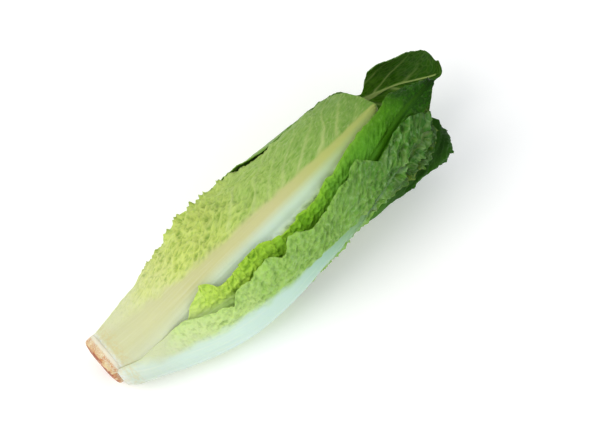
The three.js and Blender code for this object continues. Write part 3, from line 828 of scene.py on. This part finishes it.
leftFront = {
    "node": "leaf_left_front",
    "seed": 67,
    "from": 6.8, "to": 188,
    "centre": [(9, 306), (60, 300), (120, 296), (188, 300)],
    "left": [(9, 8), (30, 14), (70, 28), (120, 36), (160, 32), (180, 20), (188, 4)],
    "right": [(9, 8), (30, 14), (70, 28), (120, 36), (160, 32), (180, 20), (188, 4)],
    "fit": 0.68,
    "ribHeight": 1.4,
    "ribWidth": [(9, 8), (40, 10), (90, 7), (140, 4.5), (180, 1.4)],
    "veins": {"spacing": 10.0, "lean": 1.0, "bend": 0.005, "width": 0.9, "height": 0.3},
    "pucker": {"depths": (0.3, 0.3, 0.2), "swell": 0.3, "cells": [(13, 6.5), (5.5, 3.2)],
               "along": [(0, 0), (0.5, 0.7), (1, 1)]},
    "teeth": {"wave": 6, "depth": 1.0},
    "frill": {"reach": 4, "wave": 9, "left": 0.6, "right": 0.6, "along": [(0, 0), (0.3, 1), (1, 1)]},
    "mesh": (160, 60),
    "look": dict(
        baseLook,
        blade=[(0, "dde2b4"), (0.3, "cddc86"), (0.6, "aac868"), (1, "86aa4e")],
        hollow="7ca038", hollowDepth=0.5, edge="bfd968", edgeDepth=0.4,
    ),
}

innerRule = {
    "count": 7,
    "spiral": 137.5,           # degrees from one leaf to the next
    "firstAngle": 60,
    "firstFrom": 18, "fromStep": 4.4,
    "firstTo": 186, "toStep": 9,
    "wide": (34, 15),          # half the width and the fit, from the first leaf to the last
    "fit": (0.66, 0.20),
}


def innerLeaf(n):
    rule = innerRule
    t = n / (rule["count"] - 1)
    start = rule["firstFrom"] + rule["fromStep"] * n
    end = rule["firstTo"] - rule["toStep"] * n - 3 * n * t
    wide = rule["wide"][0] + (rule["wide"][1] - rule["wide"][0]) * t
    middle = rule["firstAngle"] + rule["spiral"] * n

    def reach(share):
        return start + share * (end - start)

    half = [(start, 6 - 3.2 * t), (reach(0.4), wide * 0.8), (reach(0.75), wide), (reach(0.93), wide * 0.6),
            (end, 3)]
    return {
        "node": f"leaf_inner_{n + 1}",
        "seed": 101 + 7 * n,
        "from": start, "to": end,
        "centre": [(start, middle), (end, middle + 6)],
        "left": half, "right": half,
        "fit": rule["fit"][0] + (rule["fit"][1] - rule["fit"][0]) * t,
        "ribHeight": 2.0 - 1.2 * t,
        "ribWidth": [(start, 6 - 3 * t), (reach(0.5), 6 - 3 * t), (end, 1)],
        "veins": {"spacing": 8.0, "lean": 1.0, "bend": 0.006, "width": 0.8, "height": 0.2},
        "pucker": {"depths": (0.3, 0.3, 0.2), "swell": 0.3, "cells": [(11, 5), (5, 3)],
                   "along": [(0, 0.2), (0.5, 0.6), (1, 1)]},
        "teeth": {"wave": 5, "depth": 0.8},
        "frill": {"reach": 3, "wave": 7, "left": 0.8, "right": 0.8, "along": [(0, 1), (1, 1)]},
        "net": (26, 12),
        "mesh": (84, 44),
        "look": dict(
            baseLook,
            blade=[(0, "e9e8b8"), (0.4, "e3e592"), (0.75, "d4dd74"), (1, "b9cf5a")],
            inside=[(0, "ebe9bd"), (0.5, "e2e494"), (1, "c4d664")],
            insideDark="b9cb5c", insideVein="eeeec4",
            hollow="b9cb5c", hollowDepth=0.5, edge="cfdf70", edgeDepth=0.4,
        ),
    }


leaves = [rightOuter, leftOuter, frontFrilled, frontRibbed, rightBack, leftFront]
leaves += [innerLeaf(n) for n in range(innerRule["count"])]

# The stem: the bare stub with its cut, and the cone that carries the leaves
stem = {
    "seed": 5,
    "length": 50,
    "shoulder": 9,
    "tipRadius": 2.6,
    "underLeaves": 6,          # how far below the stub's skin the leaves may start
    "mesh": (150, 168),
    "coarse": 260.0, "fine": 1300.0, "streakScale": 7.0,
    "flesh": ("dcc698", "c48e5c"),
    # the streak tint paints glints along the stub's side
    "scar": "c47f48", "fleck": "b5714a", "streak": "eef0e0", "upper": "e2dcc6", "rim": "9a4426",
    "cut": ("bd7c50", "8a4226"), "cutMiddle": "cc966c", "cutEdge": "8c3c20",
}


def stemRadius(s):
    t = np.clip((s - heart["stubLength"]) / (stem["length"] - heart["stubLength"]), 0, 1)
    cone = stem["tipRadius"] + (stem["shoulder"] - stem["tipRadius"]) * (1 - t) ** 0.8
    return np.where(s < heart["stubLength"], heart["buttRadius"], cone)


def layStem():
    s = np.arange(0, stem["length"] + 2, 0.5)
    angle = np.arange(0, 360, 1.0)
    aa, ss = np.meshgrid(angle, s)
    under = np.where(ss < heart["stubLength"] + 1, stem["underLeaves"], 0)
    lay(toWorld(aa, ss, stemRadius(ss) - under))


def stemFinish():
    finish = Finish("cutStem")
    out = finish.fact("out")
    way = finish.fact("way")
    lowSide = finish.fact("lowSide")
    place = finish.node("TexCoord", out=3)  # metres on the object itself
    coarse = finish.noise(place, stem["coarse"], 4.0, 0.62)
    fine = finish.noise(place, stem["fine"], 3.0, 0.6)
    lengthwise = finish.stretched(finish.uv("sheet"), (1.0, 0.25, 1.0))
    streaks = finish.noise(lengthwise, stem["streakScale"], 4.0, 0.6)

    # the stub's side
    colour = finish.mix(coarse.within(0.35, 0.65), tint(stem["flesh"][0]), tint(stem["flesh"][1]))
    scar = (coarse + (fine - 0.5) * 0.3 + lowSide * 0.1).within(0.48, 0.6) * (1 - way.within(2.6, 4.6))
    colour = finish.mix(scar * 0.75, colour, tint(stem["scar"]))
    colour = finish.mix(fine.within(0.55, 0.7) * 0.35, colour, tint(stem["fleck"]))
    # painted highlight: pale streaks just past the cut paint glints on the stub's side
    stubGlint = streaks.within(0.5, 0.62) * way.within(0.8, 1.6) * 0.75
    colour = finish.mix(stubGlint, colour, tint(stem["streak"]))
    colour = finish.mix((way + (coarse - 0.5) * 2.4).within(3.2, 4.6), colour, tint(stem["upper"]))
    rim = (1 - (way + (coarse - 0.5) * 2.0).within(-0.2, 0.6)) * coarse.within(0.4, 0.55)
    colour = finish.mix(rim * 0.9, colour, tint(stem["rim"]))

    # the cut
    cut = finish.mix(coarse.within(0.38, 0.6), tint(stem["cut"][0]), tint(stem["cut"][1]))
    cut = finish.mix((1 - out.within(0.2, 0.6)) * 0.4, cut, tint(stem["cutMiddle"]))
    cut = finish.mix(out.within(0.86, 0.97) * coarse.within(0.35, 0.5), cut, tint(stem["cutEdge"]))
    colour = finish.mix(1 - way.within(-1.2, -0.7), colour, cut)

    bump = finish.node("Bump", {}, {"Height": coarse + fine * 0.6, "Strength": 0.6, "Distance": 0.0006})
    finish.set(Base_Color=colour, Roughness=0.45 + fine * 0.2, Normal=bump)
    finish.set(Subsurface_Weight=0.15, Subsurface_Radius=(1.0, 0.7, 0.45), Subsurface_Scale=0.002)
    return finish.material


def makeStem():
    rows, turns = stem["mesh"]
    stub = heart["stubLength"]
    radius = heart["buttRadius"]
    path = [(0.01, 0.0)] + stubProfile[1:-2]
    cutEdge = len(path) - 2
    path += [(radius + 0.2, stub - 0.8), (radius + 0.1, stub + 0.5), (radius - 3.0, stub + 3.0)]
    stubEnd = len(path) - 1
    for share in (0.15, 0.35, 0.6, 0.85, 1):
        s = stub + share * (stem["length"] - stub)
        path.append((float(stemRadius(np.array(s))), s))
    path.append((0.01, stem["length"] + 2))
    steps = np.concatenate([[0], np.cumsum([math.dist(a, b) for a, b in zip(path, path[1:])])])
    fineRows = int(rows * 0.75)  # most of the rows go to the stub
    fineWay = np.linspace(0, steps[stubEnd], fineRows)
    coneWay = np.linspace(steps[stubEnd], steps[-1], rows - fineRows + 1)
    where = np.concatenate([fineWay, coneWay[1:]])
    r = np.interp(where, steps, [p[0] for p in path])
    s = np.interp(where, steps, [p[1] for p in path])
    for _ in range(3):
        r[1:-1] = (r[:-2] + 2 * r[1:-1] + r[2:]) / 4
        s[1:-1] = (s[:-2] + 2 * s[1:-1] + s[2:]) / 4
    angle = np.linspace(0, 360, turns, endpoint=False)
    aa, rr = np.meshgrid(angle, r)
    ss = np.meshgrid(angle, s)[1]
    way = np.meshgrid(angle, where - steps[cutEdge])[1]  # past the edge of the cut, along the surface
    around = aa * degree
    wobble = ripple(np.cos(around) * 3 + 9, np.sin(around) * 3 + 9 + ss / 5, stem["seed"])
    lumps = ripple(np.cos(around) * 9 + 20, np.sin(around) * 9 + 20 + ss / 1.6, stem["seed"] + 1)
    skin = ease(rr / radius * 3 - 1.6)
    rr = rr + skin * (0.35 * wobble + 0.22 * lumps)
    ss = ss + (1 - ease((way + 1) / 1.5)) * 0.25 * lumps * ease(rr / 4)
    points = toWorld(aa, ss, rr)
    aside = 1 - ease((ss - stub) / 3)
    points[..., 1] += aside * asideY * mm
    points[..., 0] -= aside * asideUp * math.sin(tilt) * mm
    points[..., 2] += aside * asideUp * math.cos(tilt) * mm
    points = points.reshape(-1, 3)
    points[:, 2] = np.maximum(points[:, 2], heart["floorClear"] * mm)
    count = len(r)
    index = np.arange(count * turns).reshape(count, turns)
    nextTurn = np.roll(index, -1, axis=1)
    quads = np.stack([index[:-1], index[1:], nextTurn[1:], nextTurn[:-1]], axis=-1).reshape(-1, 4).tolist()
    faces = quads + [index[0].tolist(), index[-1][::-1].tolist()]
    mesh = bpy.data.meshes.new("stem")
    mesh.from_pydata(points.tolist(), [], faces)
    mesh.validate()
    mesh.polygons.foreach_set("use_smooth", np.ones(len(mesh.polygons), bool))
    lowSide = np.cos((aa - 120) * degree)  # 1 at the side that is turned down and to the camera
    for key, values in {"out": rr / radius, "way": way, "lowSide": lowSide}.items():
        values = values.astype(np.float32).ravel()
        mesh.attributes.new(key, "FLOAT", "POINT").data.foreach_set("value", values)
    sheet = np.stack([aa / 12, way], axis=-1).reshape(-1, 2)
    corners = np.zeros(len(mesh.loops), np.int32)
    mesh.loops.foreach_get("vertex_index", corners)
    mesh.uv_layers.new(name="sheet").data.foreach_set("uv", sheet[corners].astype(np.float32).ravel())
    piece = bpy.data.objects.new("stem", mesh)
    bpy.context.collection.objects.link(piece)
    mesh.materials.append(stemFinish())
    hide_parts("stem_butt")
    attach(piece, "root")


layStem()
makeStem()
print("stem made")

finishes = {}
for order in range(len(leaves) - 1, -1, -1):
    leaf = leaves[order]
    name = leaf["node"].replace("leaf_", "").replace("_", "") + "Leaf"
    piece = closedSheet(name, *leafSheet(leaf, order))
    if leaf["node"].startswith("leaf_inner"):
        if "inner" not in finishes:
            finishes["inner"] = leafFinish("innerLeafFlesh", leaf["look"])
        piece.data.materials.append(finishes["inner"])
    else:
        piece.data.materials.append(leafFinish(name + "Flesh", leaf["look"]))
    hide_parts(leaf["node"])
    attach(piece, "root")
    print("leaf laid:", name, len(piece.data.polygons), "faces")

# The studio: a pale floor, two soft lights and a camera at the photograph's angle
studio = {
    "azimuth": -40.2, "elevation": 65.5,
    "lens": 101, "distance": 0.9,
    "aimAlong": 117.5,                     # mm from the cut, on the axis
    "aimOffset": (31, -4),                 # picture points that the aim is off the middle
    "pointSize": 0.000522,                 # metres a picture point covers at the heart
    "roomColour": (0.97, 0.985, 1.0), "roomPower": 0.72,
    "floorColour": (0.97, 0.97, 0.97), "floorGlow": 0.12,
    "lights": [                            # name, place, size, power, colour
        ("keyLight", (-0.55, 0.15, 0.75), 0.6, 4.0, (1.0, 0.97, 0.9)),
        ("coolFill", (0.35, -0.75, 0.55), 0.7, 1.5, (0.85, 0.94, 1.0)),
    ],
}


def makeStudio():
    scene = bpy.context.scene
    scene.view_settings.view_transform = "Standard"
    world = bpy.data.worlds.new("softRoom")
    scene.world = world
    world.use_nodes = True
    background = world.node_tree.nodes["Background"]
    background.inputs["Color"].default_value = (*studio["roomColour"], 1)
    background.inputs["Strength"].default_value = studio["roomPower"]
    bpy.ops.mesh.primitive_plane_add(size=6, location=(0, 0, 0))
    floor = bpy.context.object
    floor.name = "floor"
    finish = Finish("paleFloor")
    finish.set(Base_Color=studio["floorColour"], Roughness=0.7)
    finish.set(Emission_Color=(1.0, 1.0, 1.0), Emission_Strength=studio["floorGlow"])
    floor.data.materials.append(finish.material)
    for name, place, size, power, colour in studio["lights"]:
        lamp = bpy.data.lights.new(name, "AREA")
        lamp.size = size
        lamp.energy = power
        lamp.color = colour
        holder = bpy.data.objects.new(name, lamp)
        scene.collection.objects.link(holder)
        holder.location = place
        holder.rotation_euler = (-Vector(place)).to_track_quat("-Z", "Y").to_euler()
    azimuth = math.radians(studio["azimuth"])
    elevation = math.radians(studio["elevation"])
    level = math.cos(elevation)
    back = Vector((math.sin(azimuth) * level, -math.cos(azimuth) * level, math.sin(elevation)))
    camera = bpy.data.objects.new("camera", bpy.data.cameras.new("camera"))
    scene.collection.objects.link(camera)
    scene.camera = camera
    camera.data.lens = studio["lens"]
    turn = (-back).to_track_quat("-Z", "Y")
    right = turn @ Vector((1, 0, 0))
    up = turn @ Vector((0, 1, 0))
    aim = Vector(toWorld(0.0, studio["aimAlong"], 0.0))
    step = studio["pointSize"]
    x, y = studio["aimOffset"]
    camera.location = aim + back * studio["distance"] + right * x * step + up * y * step
    camera.rotation_mode = "QUATERNION"
    camera.rotation_quaternion = turn


makeStudio()
print("studio set")
